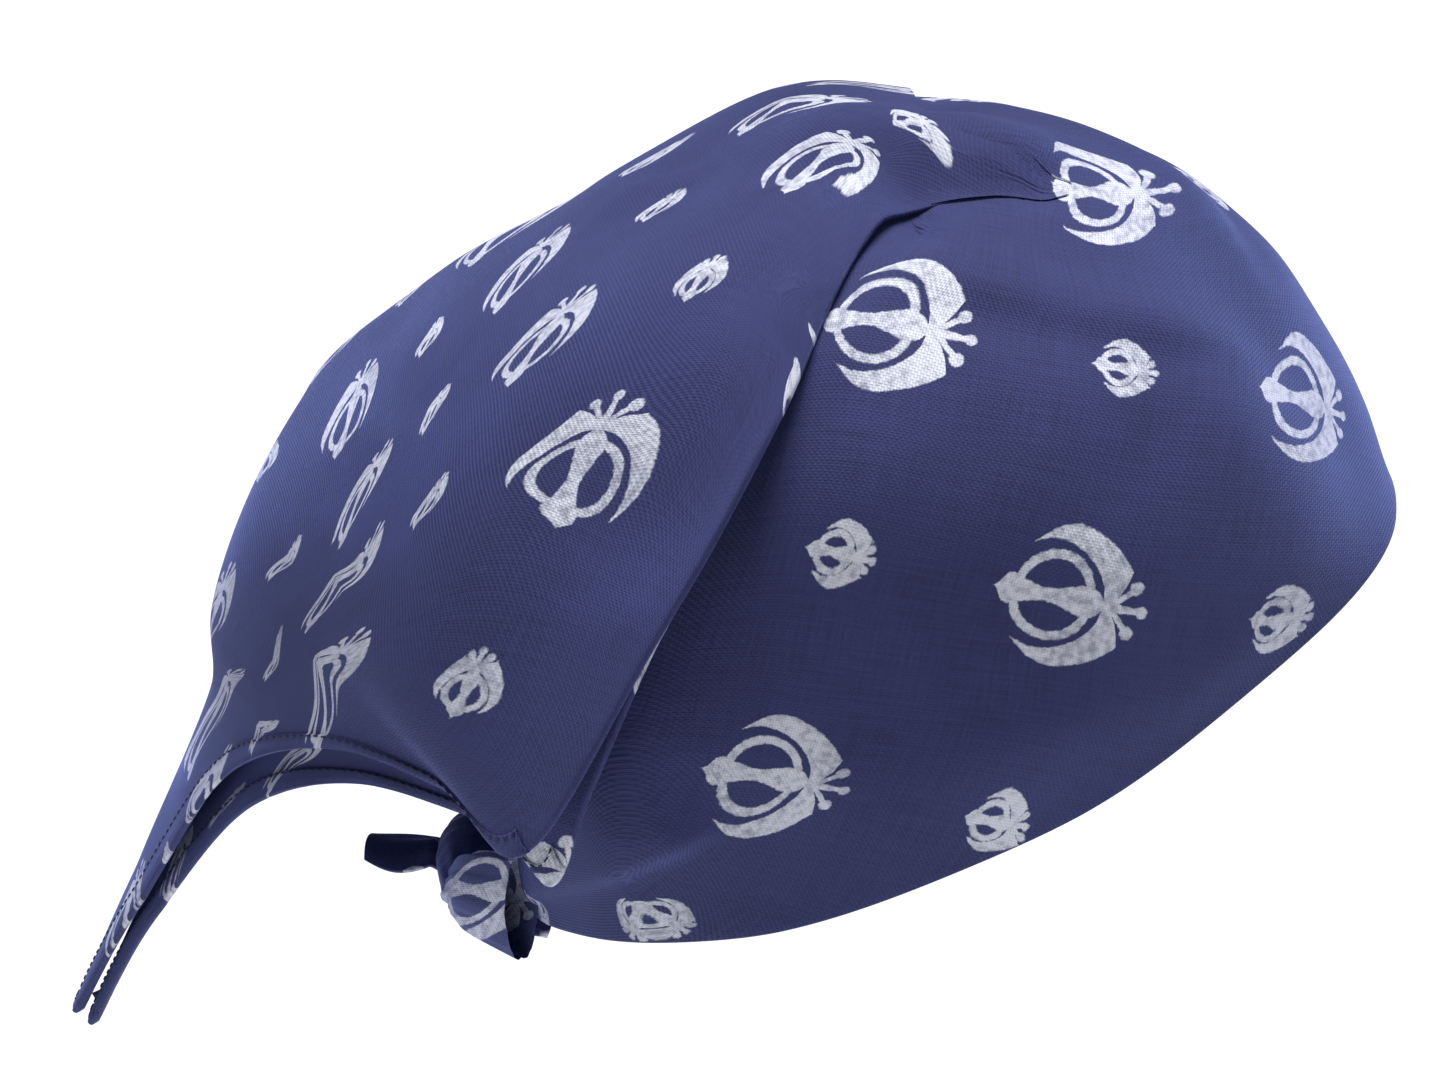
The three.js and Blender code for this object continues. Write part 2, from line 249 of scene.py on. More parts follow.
def cap_inside(levels, columns):
    turns = 2 * (len(CAP_MERIDIANS) - 1)
    profiles = []
    for k in range(turns):
        turn = 2 * math.pi * k / turns
        reach = CAP_FRONT if math.cos(turn) > 0 else CAP_BACK
        row = CAP_MERIDIANS[min(k, turns - k)]
        side, back = -math.sin(turn) * CAP_HALF_WIDTH, -math.cos(turn) * reach
        points = [(0, 0, 0)] + [(side * out, back * out, -CAP_DEPTH * down) for out, down in row]
        profiles.append(spaced(points, levels))
    profiles = np.array(profiles)
    grid = np.zeros((levels + 1, columns + 1, 3))
    for level in range(1, levels + 1):
        slit = SLIT_NARROW + (SLIT_WIDE - SLIT_NARROW) * math.sin(math.pi * level / levels)
        turn = 0.5 + slit + (1 - 2 * slit) * np.linspace(0, 1, columns + 1)
        grid[level] = catmull(profiles[:, level], turn, closed=True)
    return grid


def flap_outside(rows, columns):
    table = np.array(FLAP_SECTIONS)
    index = np.arange(len(table), dtype=float)
    at = np.linspace(0, 1, rows + 1)
    value = [catmull(np.stack([index, column], axis=1), at)[:, 1] for column in table.T]
    grid = np.zeros((rows + 1, columns + 1, 3))
    for r, s in enumerate(np.array(value).T):
        out, back, down = FLAP_HALF_WIDTH, FLAP_REACH, -FLAP_DROP
        grid[r] = spaced([
            (-out * s[0], back * s[1], down * s[2]),
            (-out * s[3], back * s[4], down * s[5]),
            (0, back * s[6], down * s[7]),
            (out * s[3], back * s[4], down * s[5]),
            (out * s[8], back * s[9], down * s[10]),
        ], columns)
    return grid


# Picture places

def picture_ray(px, py):
    """A point on the camera's ray through a place in the picture, and the ray's direction."""
    a = (px - PICTURE[0] / 2) * PIXEL
    b = (PICTURE[1] / 2 - py) * PIXEL
    on = AIM + a * RIGHT + b * UP
    return on, unit(on - (AIM + BACK * CAMERA_FAR))


def quads_of(grid):
    """The grid's faces, by the numbers of their corners."""
    rows, columns = grid.shape[:2]
    k = np.arange(rows * columns).reshape(rows, columns)
    quads = np.stack([k[:-1, :-1], k[:-1, 1:], k[1:, 1:], k[1:, :-1]], axis=-1)
    return quads.reshape(-1, 4).tolist()


def tree_of(grid):
    return BVHTree.FromPolygons(grid.reshape(-1, 3).tolist(), quads_of(grid))


RAY_START = 400
RAY_SEARCH = 200
RAY_TRIES = 81


def seen_at(tree, px, py):
    """Where the ray of a picture place meets the surface, or passes nearest to it."""
    on, way = picture_ray(px, py)
    start = on - way * RAY_START
    hit = tree.ray_cast(Vector(start), Vector(way))
    if hit[0] is not None:
        return np.array(hit[0])
    best = None
    for t in np.linspace(-RAY_SEARCH, RAY_SEARCH, RAY_TRIES):
        near = tree.find_nearest(Vector(on + way * t))
        if best is None or near[3] < best[1]:
            best = (np.array(near[0]), near[3])
    return best[0]


class Smooth:
    """A smooth map through values at places in space: straight-line kernels and a linear part."""

    def __init__(self, places, values):
        self.places = np.asarray(places, float)
        n = len(self.places)
        apart = np.linalg.norm(self.places[:, None] - self.places[None], axis=2)
        linear = np.concatenate([np.ones((n, 1)), self.places / 100], axis=1)
        system = np.zeros((n + 4, n + 4))
        system[:n, :n] = -apart
        system[:n, n:] = linear
        system[n:, :n] = linear.T
        right = np.zeros((n + 4, np.shape(values)[1]))
        right[:n] = values
        self.weights = np.linalg.solve(system, right)

    def __call__(self, at):
        flat = np.asarray(at, float).reshape(-1, 3)
        out = []
        for part in np.array_split(flat, max(1, len(flat) // 4000)):
            apart = np.linalg.norm(part[:, None] - self.places[None], axis=2)
            linear = np.concatenate([np.ones((len(part), 1)), part / 100], axis=1)
            out.append(np.concatenate([-apart, linear], axis=1) @ self.weights)
        return np.concatenate(out).reshape(*np.shape(at)[:-1], -1)


def mirrored(places, values):
    """The same cloth on the other side of its centre line."""
    flipped = np.array(places) * [-1, 1, 1]
    swapped = np.stack([
        np.array(values)[:, 1] + CENTRE_LINE,
        np.array(values)[:, 0] - CENTRE_LINE,
    ], axis=1)
    return flipped, swapped


# Materials

class Wire:
    """A number on its way through a material's nodes."""

    def __init__(self, tree, socket):
        self.tree = tree
        self.socket = socket

    def __add__(self, other):
        return maths("ADD", self, other)

    def __sub__(self, other):
        return maths("SUBTRACT", self, other)

    def __mul__(self, other):
        return maths("MULTIPLY", self, other)

    def __abs__(self):
        return maths("ABSOLUTE", self)


def maths(kind, *values):
    tree = next(value.tree for value in values if isinstance(value, Wire))
    node = tree.nodes.new("ShaderNodeMath")
    node.operation = kind
    for value, socket in zip(values, node.inputs):
        put(value, socket)
    return Wire(tree, node.outputs[0])


def put(value, socket):
    if isinstance(value, Wire):
        value.tree.links.new(value.socket, socket)
    else:
        socket.default_value = value


def ramp(x, low, high, start=0.0, stop=1.0):
    """A smooth step from start to stop while x goes from low to high."""
    node = x.tree.nodes.new("ShaderNodeMapRange")
    node.interpolation_type = "SMOOTHSTEP"
    for value, socket in zip((x, low, high, start, stop), node.inputs):
        put(value, socket)
    return Wire(x.tree, node.outputs[0])


def drawn(x, points, low, high, most=20.0, least=-1.0):
    """A smooth curve through points (x, y)."""
    node = x.tree.nodes.new("ShaderNodeFloatCurve")
    curve = node.mapping.curves[0]
    placed = [((a - low) / (high - low), (b - least) / (most - least)) for a, b in points]
    curve.points[0].location, curve.points[1].location = placed[0], placed[-1]
    for a, b in placed[1:-1]:
        curve.points.new(a, b)
    node.mapping.extend = "HORIZONTAL"
    node.mapping.update()
    put(1.0, node.inputs[0])
    put((x - low) * (1 / (high - low)), node.inputs[1])
    return Wire(x.tree, node.outputs[0]) * (most - least) + least


def joined(x, y, z=0.0):
    node = x.tree.nodes.new("ShaderNodeCombineXYZ")
    for value, socket in zip((x, y, z), node.inputs):
        put(value, socket)
    return node.outputs[0]


def noise(tree, at, scale, detail=2.0):
    node = tree.nodes.new("ShaderNodeTexNoise")
    node.inputs["Scale"].default_value = scale
    node.inputs["Detail"].default_value = detail
    tree.links.new(at, node.inputs["Vector"])
    return Wire(tree, node.outputs[0])


def distance(x, y):
    return maths("SQRT", x * x + y * y)


def new_material(name):
    material = bpy.data.materials.new(name)
    material.use_nodes = True
    tree = material.node_tree
    return material, tree, tree.nodes["Principled BSDF"]


def blend(tree, share, start, stop):
    """A colour from start to stop, each a colour or a socket."""
    node = tree.nodes.new("ShaderNodeMix")
    node.data_type = "RGBA"
    put(share, node.inputs[0])
    for value, socket in ((start, node.inputs[6]), (stop, node.inputs[7])):
        if isinstance(value, tuple):
            socket.default_value = (*value, 1)
        else:
            tree.links.new(value, socket)
    return node.outputs[2]


def bumped(tree, shader, height, strength, reach):
    node = tree.nodes.new("ShaderNodeBump")
    node.inputs["Strength"].default_value = strength
    node.inputs["Distance"].default_value = reach
    put(height, node.inputs["Height"])
    tree.links.new(node.outputs[0], shader.inputs["Normal"])


# The printed figure, in millimetres of the large one: half widths along its axis
BLADE = [
    (-18, -0.9), (-16.4, 0.1), (-13.3, 3.1), (-12.2, 2.7), (-9.6, 2.0), (-6, 1.3), (-1.5, 2.3),
    (1.5, 3.1), (4, 2.6), (5.9, 1.0), (8, 0.9), (12, 0.6), (14.2, 0.4), (15, -0.6),
]
WING_OUTSIDE = [(-11, 9.4), (-10, 10.6), (-4, 14.2), (2.3, 13.0), (6.3, 10.9), (10.6, 7.4)]
WING_INSIDE = [
    (-11, 9.9), (-10, 10.3), (-6.5, 11.2), (-1.8, 10.1), (2.3, 7.4), (5, 3.8), (6.3, 0.3),
    (8.4, 2.2), (10.6, 8.2),
]
RING_CENTRE = -4.7
RING_SQUEEZE = 1.1
RING_RADIUS = 8.35
RING_HALF = 0.9
KNOBS = [(11.9, 4.5, 1.3), (14.0, 0.0, 1.15)]


def figure(i, j):
    """How far a place is outside the nearest printed figure, in millimetres."""
    whole_i, whole_j = maths("ROUND", i), maths("ROUND", j)
    odd = maths("FLOORED_MODULO", whole_i + whole_j, 2.0)
    grow = odd * (1 / SMALL - 1) + 1.0
    u = (whole_i - i) * PITCH * grow
    v = abs((j - whole_j) * PITCH) * grow
    blade = v - drawn(u, BLADE, -18, 15)
    parts = [maths("MAXIMUM", blade, abs(u + 1.0) - 16.2)]
    parts.append(abs(distance((u - RING_CENTRE) * RING_SQUEEZE, v) - RING_RADIUS) - RING_HALF)
    outside, inside = drawn(u, WING_OUTSIDE, -11, 10.6), drawn(u, WING_INSIDE, -11, 10.6)
    wing = maths("MAXIMUM", v - outside, inside - v)
    parts.append(maths("MAXIMUM", wing, abs(u + 0.2) - 10.7))
    for knob_u, knob_v, radius in KNOBS:
        parts.append(distance(u - knob_u, v - knob_v) - radius)
    stem = abs(v - (u - 7.0) * 0.9) - 0.75
    stem = maths("MAXIMUM", stem, abs(u - 9.3) - 2.4)
    least = parts[0]
    for part in parts[1:] + [stem]:
        least = maths("MINIMUM", least, part)
    return maths("DIVIDE", least, grow) - odd * SMALL_SPREAD


def weave(tree, x, y, thread):
    """Height of a plain weave: threads that pass over and under each other."""
    across = maths("SINE", x * (math.pi / thread))
    down = maths("SINE", y * (math.pi / thread))
    cells = maths("FLOOR", x * (1 / thread)) + maths("FLOOR", y * (1 / thread))
    over = maths("FLOORED_MODULO", cells, 2.0)
    return abs(across) * over + abs(down) * (maths("MULTIPLY_ADD", over, -1.0, 1.0))


PRINT_WHITE = (0.74, 0.76, 0.86)


def cotton(name, dark, light, printed=1.0, thread=0.56):
    """Woven cotton whose lattice places are its UV; printed is how strong the print shows."""
    material, tree, shader = new_material(name)
    uv = tree.nodes.new("ShaderNodeUVMap")
    uv.uv_map = "cloth"
    parts = tree.nodes.new("ShaderNodeSeparateXYZ")
    tree.links.new(uv.outputs[0], parts.inputs[0])
    i, j = Wire(tree, parts.outputs[0]), Wire(tree, parts.outputs[1])
    x, y = i * PITCH, j * PITCH
    flat = joined(x, y)

    # Uneven threads both ways, slow changes of tone over the cloth, and painted highlight on the
    # raised threads of the weave
    slub_x = noise(tree, joined(x * 0.06, y * 1.6), 1.0, 3.0)
    slub_y = noise(tree, joined(x * 1.6, y * 0.06), 1.0, 3.0)
    slow = noise(tree, flat, 0.025, 3.0)
    specks = noise(tree, flat, 1.5, 2.0)
    height = weave(tree, x, y, thread)
    # The weave's height also lightens the colour: painted highlight on the tops of the threads.
    tone_and_painted_highlight = slub_x * 0.5 + slub_y * 0.5 + slow * 0.6 + specks * 0.25 + height * 0.22
    tone_and_painted_highlight = ramp(tone_and_painted_highlight, 0.55, 1.4)
    colour = blend(tree, tone_and_painted_highlight, dark, light)

    if printed:
        away = figure(i, j)
        rough = (noise(tree, flat, 0.9, 3.0) - 0.5) * 0.8
        rough = rough + (noise(tree, flat, 3.0, 1.0) - 0.5) * 0.4
        body = ramp(away + rough, -0.2, 0.25, 1.0, 0.0)
        mottle = noise(tree, flat, 0.55, 4.0) * 0.65 + noise(tree, flat, 0.05, 2.0) * 0.35
        mottle = ramp(mottle, 0.33, 0.6, 0.45, 1.0)
        threads = maths("MULTIPLY_ADD", height, 0.3, 0.72)
        cover = body * mottle * threads * printed
        colour = blend(tree, cover, colour, PRINT_WHITE)
    tree.links.new(colour, shader.inputs["Base Color"])

    bumped(tree, shader, height + slub_x * 0.8 + slub_y * 0.8, 0.55, 0.00016)
    shader.inputs["Roughness"].default_value = 0.82
    shader.inputs["Specular IOR Level"].default_value = 0.25
    shader.inputs["Sheen Weight"].default_value = 0.55
    shader.inputs["Sheen Roughness"].default_value = 0.42
    shader.inputs["Sheen Tint"].default_value = (0.28, 0.38, 1.0, 1)
    return material


def yarn(name, colour):
    """Sewing thread: twisted, with a painted highlight: its colour is lighter where the twist
    stands high.
    """
    material, tree, shader = new_material(name)
    place = tree.nodes.new("ShaderNodeNewGeometry")
    at = tree.nodes.new("ShaderNodeVectorMath")
    at.operation = "SCALE"
    at.inputs[3].default_value = 1 / MM
    tree.links.new(place.outputs["Position"], at.inputs[0])
    twist = noise(tree, at.outputs[0], 2.6, 2.0)
    # Lighter where the twist's bump is high: painted highlight.
    tone_and_painted_highlight = ramp(twist, 0.35, 0.65)
    painted_highlight_colour = blend(tree, tone_and_painted_highlight, tuple(c * 0.6 for c in colour), colour)
    tree.links.new(painted_highlight_colour, shader.inputs["Base Color"])
    bumped(tree, shader, twist, 0.25, 0.0001)
    shader.inputs["Roughness"].default_value = 0.7
    return material


DARK, LIGHT = (0.018, 0.02, 0.066), (0.04, 0.047, 0.16)
NAVY = cotton("navy_cotton", DARK, LIGHT)
NAVY_BACK = cotton("navy_cotton_wrong_side", DARK, LIGHT, printed=0.16)
NAVY_HEM = cotton("hem_cotton", DARK, LIGHT)
THREAD = yarn("hem_thread", (0.006, 0.007, 0.03))


# Pieces

def placed(name, data):
    """A new object of the scene."""
    obj = bpy.data.objects.new(name, data)
    bpy.context.collection.objects.link(obj)
    return obj


def piece(name, grid, uv, materials, thickness, replaces=()):
    """A sheet through a grid of outside points, with its thickness inward."""
    mesh = bpy.data.meshes.new(name)
    mesh.from_pydata((grid.reshape(-1, 3) * MM).tolist(), [], quads_of(grid))
    layer = mesh.uv_layers.new(name="cloth")
    corner = np.zeros(len(mesh.loops), int)
    mesh.loops.foreach_get("vertex_index", corner)
    layer.data.foreach_set("uv", uv.reshape(-1, 2)[corner].ravel().astype(np.float32))
    mesh.polygons.foreach_set("use_smooth", [True] * len(mesh.polygons))
    obj = placed(name, mesh)
    for material in materials:
        mesh.materials.append(material)
    if thickness:
        solid = obj.modifiers.new("wall", "SOLIDIFY")
        solid.thickness = thickness * MM
        solid.offset = -1
        solid.material_offset = len(materials) - 1
    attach(obj, "root")
    if replaces:
        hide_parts(*replaces)
    return obj


def turned_under(grid, radius, back, arc=8, run=8, outward=1):
    """The grid with rows added past its last row, where the cloth turns round an edge and
    runs back under itself. radius and back are numbers, or one for each column; outward is
    -1 where the grid's own normals point inward."""
    normals = grid_normals(grid) * outward
    rows, columns = grid.shape[:2]
    radius = np.broadcast_to(radius, columns)
    back = np.broadcast_to(back, columns)
    extra = np.zeros((arc + run, columns, 3))
    for c in range(columns):
        line = grid[::-1, c]
        turned = normals[::-1, c]
        along = lengths(line)
        tangent = unit(line[0] - line[min(2, rows - 1)])
        for k in range(arc):
            a = math.pi * (k + 1) / arc
            turn = tangent * math.sin(a) + turned[0] * (math.cos(a) - 1)
            extra[k, c] = line[0] + radius[c] * turn
        for k in range(run):
            s = back[c] * (k + 1) / run
            at = [np.interp(s, along, line[:, axis]) for axis in range(3)]
            n = unit(np.array([np.interp(s, along, turned[:, axis]) for axis in range(3)]))
            extra[arc + k, c] = at - 2 * radius[c] * n
    return np.concatenate([grid, extra])


def at_sides(grid, turn):
    """Does the same turn at the first and the last column."""
    swapped = np.swapaxes(grid, 0, 1)
    last = turn(swapped, -1)
    first = turn(last[::-1], 1)
    return np.swapaxes(first[::-1], 0, 1)


CURVE_STEPS = 79


def near_curve(grid, curve):
    """Distance of each grid point from a curve, and where along it, 0 to 1, the nearest lies."""
    fine = catmull(curve, np.linspace(0, 1, CURVE_STEPS + 1))
    flat = grid.reshape(-1, 3)
    apart = np.stack([np.linalg.norm(flat - p, axis=1) for p in fine])
    nearest = np.argmin(apart, axis=0)
    shape = grid.shape[:2]
    return apart.min(axis=0).reshape(shape), (nearest / CURVE_STEPS).reshape(shape)


# Folds in the side of the cap: height, half width above and below the crest, and
# picture places from end to end
CAP_FOLDS = [
    (-3.0, 8.0, 8.0, [(950, 214), (905, 218), (850, 262), (800, 350)]),
    (1.8, 9.0, 6.0, [(860, 250), (930, 272), (1040, 300), (1160, 327), (1270, 350)]),
    (-0.9, 7.0, 7.0, [(880, 290), (1040, 325), (1160, 350), (1250, 366)]),
    (3.2, 11.0, 2.2, [(500, 902), (542, 890), (587, 879), (641, 860), (684, 841), (730, 812)]),
    (0.6, 9.0, 9.0, [(720, 640), (880, 690), (1060, 700), (1220, 690)]),
    (0.5, 8.0, 8.0, [(700, 745), (860, 760), (1000, 740), (1120, 715)]),
]
CAP_WAVES = [(0.28, (31, 0, 23), 0.4), (0.22, (17, 26, 0), 1.7), (0.16, (0, 13, 19), 2.9)]
FLAP_WAVES = [(0.5, (37, 0, 52), 0.2), (0.4, (0, 33, 41), 1.1), (0.3, (23, 29, 0), 2.0)]


def waves(grid, table):
    total = np.zeros(grid.shape[:2])
    for height, spans, start in table:
        phase = np.full(grid.shape[:2], float(start))
        for axis, span in enumerate(spans):
            if span:
                phase += grid[..., axis] * 2 * math.pi / (2.5 * span)
        total += height * np.sin(phase)
    return total


CAP_LEVELS = 110
CAP_COLUMNS = 420

CROWN_AT = np.array([0.0, -22.0])
CROWN_SPAN = 58.0
CROWN_DROP = 5.0


def lowered(grid):
    """The crown pressed down a little."""
    apart = np.linalg.norm(grid[..., :2] - CROWN_AT, axis=-1)
    return grid - (CROWN_DROP * np.exp(-(apart / CROWN_SPAN) ** 2))[..., None] * [0, 0, 1]


bare = cap_inside(CAP_LEVELS, CAP_COLUMNS)
cap = bare + grid_normals(bare) * CAP_WALL
cap[0] = (0, 0, CAP_WALL)
cap = lowered(cap)
cap_tree = tree_of(cap)


def folded(grid):
    """The cap with its folds and slow waves."""
    normals = grid_normals(grid)
    rise = waves(grid, CAP_WAVES)
    for height, width, below, places in CAP_FOLDS:
        curve = np.array([seen_at(cap_tree, *place) for place in places])
        for side in (1, -1):
            apart, along = near_curve(grid, curve * [side, 1, 1])
            fine = catmull(curve, along.ravel())[:, 2].reshape(along.shape)
            width = np.where(grid[..., 2] < fine, below, width)
            ends = smooth(along, 0, 0.25) * smooth(-along, -1, -0.75)
            share = 1 if side > 0 else 0.7
            rise += share * height * np.exp(-(apart / width) ** 2) * ends
    fade = smooth(np.arange(len(grid)) / (len(grid) - 1), 0, 0.15)[:, None]
    return grid + normals * (rise * fade)[..., None]


# The outer leaf laid down on the crown, where it grows out of the cap: how much of its
# height over the cap is left at the line where it grows out, how much a little past it,
# how far past it in millimetres, and over the crown
MERGE_LIFT = 0.03
RIDGE_LIFT = 1.05
RIDGE_AT = 14.0
CROWN_LIFT = 0.5


def merging(grid):
    """How far each point is from the line where the flap grows out of the cap, in millimetres."""
    rows, columns = grid.shape[:2]
    share = np.arange(rows) / (rows - 1)
    first_free = 1 / (len(FLAP_SECTIONS) - 1)
    down = np.array([lengths(grid[:, c]) for c in range(columns)]).T
    out = np.zeros((rows, columns))
    for r in range(rows):
        along = lengths(grid[r])
        edge = np.minimum(along, along[-1] - along) + max(0.0, share[r] - first_free) * 400
        out[r] = np.minimum(edge, down[r])
    return out


def settled(grid):
    """The leaf's grid laid down on the crown."""
    rows, columns = grid.shape[:2]
    out = grid.copy()
    all_merge = merging(grid)
    for r in range(rows):
        merge = all_merge[r]
        for c in range(columns):
            near, _, _, apart = cap_tree.find_nearest(Vector(grid[r, c]))
            if apart > 40:
                continue
            lift = MERGE_LIFT + (RIDGE_LIFT - MERGE_LIFT) * smooth(merge[c], 0, RIDGE_AT)
            lift += (1 - RIDGE_LIFT) * smooth(merge[c], RIDGE_AT, 2.5 * RIDGE_AT)
            lift *= CROWN_LIFT + (1 - CROWN_LIFT) * smooth(apart, 4, 14)
            lift += (1 - lift) * smooth(apart, 12, 35)
            near = np.array(near)
            out[r, c] = near + (grid[r, c] - near) * lift
    return out


EDGE_ZONE = 7.0


def respaced(row, edge_steps, middle_steps):
    """A row with close columns by its two edges, where the cloth turns."""
    along = lengths(row)
    zone = min(EDGE_ZONE, 0.3 * along[-1])
    first = np.linspace(0, zone, edge_steps + 1)
    middle = np.linspace(zone, along[-1] - zone, middle_steps + 1)[1:-1]
    want = np.concatenate([first, middle, along[-1] - first[::-1]])
    return np.stack([np.interp(want, along, row[:, axis]) for axis in range(3)], axis=1)


FLAP_ROWS = 170
FLAP_MIDDLE = 200
EDGE_STEPS = 6
flap = settled(lowered(flap_outside(FLAP_ROWS, 160)))
flap = flap + grid_normals(flap) * waves(flap, FLAP_WAVES)[..., None] * smooth(
    np.arange(FLAP_ROWS + 1) / FLAP_ROWS, 0.05, 0.3
)[:, None, None]

# The roll along the top of the flap and the dip in front of it, in the cap and the flap
# alike: height, half width and picture places
SWELLS = [
    (6.0, 11.0, [(1080, 142), (1034, 134), (971, 132), (891, 134), (811, 136), (740, 139)]),
    (-2.6, 8.0, [(1090, 165), (1040, 180), (980, 198), (915, 206), (880, 225)]),
]
swell_tree = tree_of(flap)
SWELL_PATHS = [
    (height, span, np.array([seen_at(swell_tree, *place) for place in places]) * [1, 1, 0])
    for height, span, places in SWELLS
]

# The leaf's edge on the crown sinks into the cap, so that no step shows: depth and reach
SINK = 0.4
SINK_AT = 6.0


def swelled(grid):
    """The grid raised and lowered along the swells, by its place seen from above."""
    rise = np.zeros(grid.shape[:2])
    for height, span, path in SWELL_PATHS:
        apart, along = near_curve(grid * [1, 1, 0], path)
        ends = smooth(along, 0, 0.3) * smooth(-along, -1, -0.7)
        rise += height * np.exp(-(apart / span) ** 2) * ends
    upper = smooth(grid[..., 2], -60, -30)
    return grid + (rise * upper)[..., None] * [0, 0, 1]


sunk = SINK * (1 - smooth(merging(flap), 0, SINK_AT))
flap = swelled(flap - grid_normals(flap) * sunk[..., None])
cap = swelled(cap)
cap_tree = tree_of(cap)
flap = np.array([respaced(row, EDGE_STEPS, FLAP_MIDDLE) for row in flap])

# The hanging corner ends higher than in the frame, as in the picture
TAIL_FROM = -190.0
TAIL_SHARE = 0.86
low = np.minimum(flap[..., 2] - TAIL_FROM, 0)
flap = flap - (low * (1 - TAIL_SHARE))[..., None] * [0, 0, 1]
flap_tree = tree_of(flap)

# Lattice places over the cap and over the flap
def seen(tree, table, edges=()):
    """Places on a surface for the marks of a table, and their lattice places."""
    places = [seen_at(tree, px, py) for _, _, _, px, py in table]
    values = [lattice_place(i, j, mark) for i, j, mark, _, _ in table]
    places += [seen_at(tree, px, py) for _, _, px, py in edges]
    values += [(i, j) for i, j, _, _ in edges]
    return np.array(places), np.array(values)


FRONT_EDGE = np.array([0, -108.0, -77.0])
FRONT_LATTICE = (-3.6, -1.57)
MIRROR_FROM = 35.0
cap_places, cap_values = seen(cap_tree, CAP_PRINT, CAP_EDGE_PRINT)
flap_places, flap_values = seen(flap_tree, FLAP_PRINT, FLAP_EDGE_PRINT)
first_figure = [k for k, row in enumerate(FLAP_PRINT) if row[:2] == (0, 0)]
cap_all = np.concatenate([cap_places, flap_places[first_figure]])
cap_known = np.concatenate([cap_values, flap_values[first_figure]])
far = cap_all[:, 0] < -MIRROR_FROM
flipped, swapped = mirrored(cap_all[far], cap_known[far])
cap_lattice = Smooth(
    np.concatenate([cap_all, flipped, [FRONT_EDGE]]),
    np.concatenate([cap_known, swapped, [FRONT_LATTICE]]),
)
both_sides = [k for k, row in enumerate(FLAP_PRINT) if row[1] == 0 and row[0] > 0]
crown = [k for k, row in enumerate(CAP_PRINT) if row[:2] in ((-2, 0), (-1, -1))]
flipped, swapped = mirrored(flap_places[both_sides], flap_values[both_sides])
flap_lattice = Smooth(
    np.concatenate([flap_places, cap_places[crown], flipped]),
    np.concatenate([flap_values, cap_values[crown], swapped]),
)

# Cap wrap: one sheet, with its folded edge turned inside
cap = folded(cap)
cap_cloth = turned_under(cap, FOLD_RADIUS, FOLD_RETURN)
cap_piece = piece(
    "cap_cloth", cap_cloth, cap_lattice(cap_cloth), [NAVY, NAVY_BACK], CAP_SHEET,
    replaces=["cap_wrap"],
)


# Leaves of the flap
def leaf_cloth(grid, start):
    """The grid with its fold edges turned under, more and more past the crown."""
    share = np.arange(start, FLAP_ROWS + 1) / FLAP_ROWS
    grid = grid[start:]
    free = smooth(share, 0.06, 0.14)
    hemmed = smooth(share, 0.42, 0.46)
    radius = 0.05 + free * (FOLD_RADIUS - 0.05) * (1 - hemmed) + hemmed * HEM_RADIUS
    widths = np.array([lengths(row)[-1] for row in grid])
    back = np.minimum(0.5 + free * FOLD_RETURN * (1 - hemmed) + hemmed * HEM_WIDTH, 0.35 * widths)
    grid = at_sides(grid, lambda g, outward: turned_under(g, radius, back, outward=outward))
    return turned_under(grid, HEM_RADIUS, HEM_WIDTH, run=4)


outer_cloth = leaf_cloth(flap, 0)
outer_piece = piece(
    "outer_leaf", outer_cloth, flap_lattice(outer_cloth), [NAVY, NAVY_BACK], LEAF_WALL,
    replaces=["outer_flap"],
)

INNER_START = int(0.16 * FLAP_ROWS)
INNER_GAP = 2.6
TIP_CLOSING = 0.85
TUCK = 7.0
INNER_FROM = [0, 4.0, 12.0]
INNER_PHASE = [0.5, 0.5]
share = np.arange(FLAP_ROWS + 1)[:, None] / FLAP_ROWS
hem_share = FIRST_HEM_SECTION / (len(FLAP_SECTIONS) - 1)
part = np.minimum(share / hem_share, 1) ** PARTING_LATENESS
part = part * (1 - TIP_CLOSING * smooth(share, 0.6, 0.95))
inner = flap - grid_normals(flap) * INNER_GAP
inner = inner - np.stack([
    PARTING * part * inner[..., 0] / FLAP_HALF_WIDTH,
    np.broadcast_to(PARTING * part, inner.shape[:2]),
    np.broadcast_to(INNER_SHOW * part, inner.shape[:2]),
], axis=-1)


def inner_lattice(grid):
    """The print of the inner leaf, which lies half a pitch off that of the outer one."""
    return flap_lattice(grid + INNER_FROM) + INNER_PHASE


def tucked(row, by):
    """The row with its two ends drawn in."""
    along = lengths(row)
    by = min(by, 0.2 * along[-1])
    want = by + (along[-1] - 2 * by) * along / along[-1]
    return np.stack([np.interp(want, along, row[:, axis]) for axis in range(3)], axis=1)


inner = np.array([
    tucked(row, TUCK * (1 - smooth(r / FLAP_ROWS, hem_share - 0.04, hem_share + 0.04)))
    for r, row in enumerate(inner)
])
inner_cloth = leaf_cloth(inner, INNER_START)
inner_piece = piece(
    "inner_leaf", inner_cloth, inner_lattice(inner_cloth), [NAVY, NAVY_BACK], LEAF_WALL,
    replaces=["inner_flap"],
)


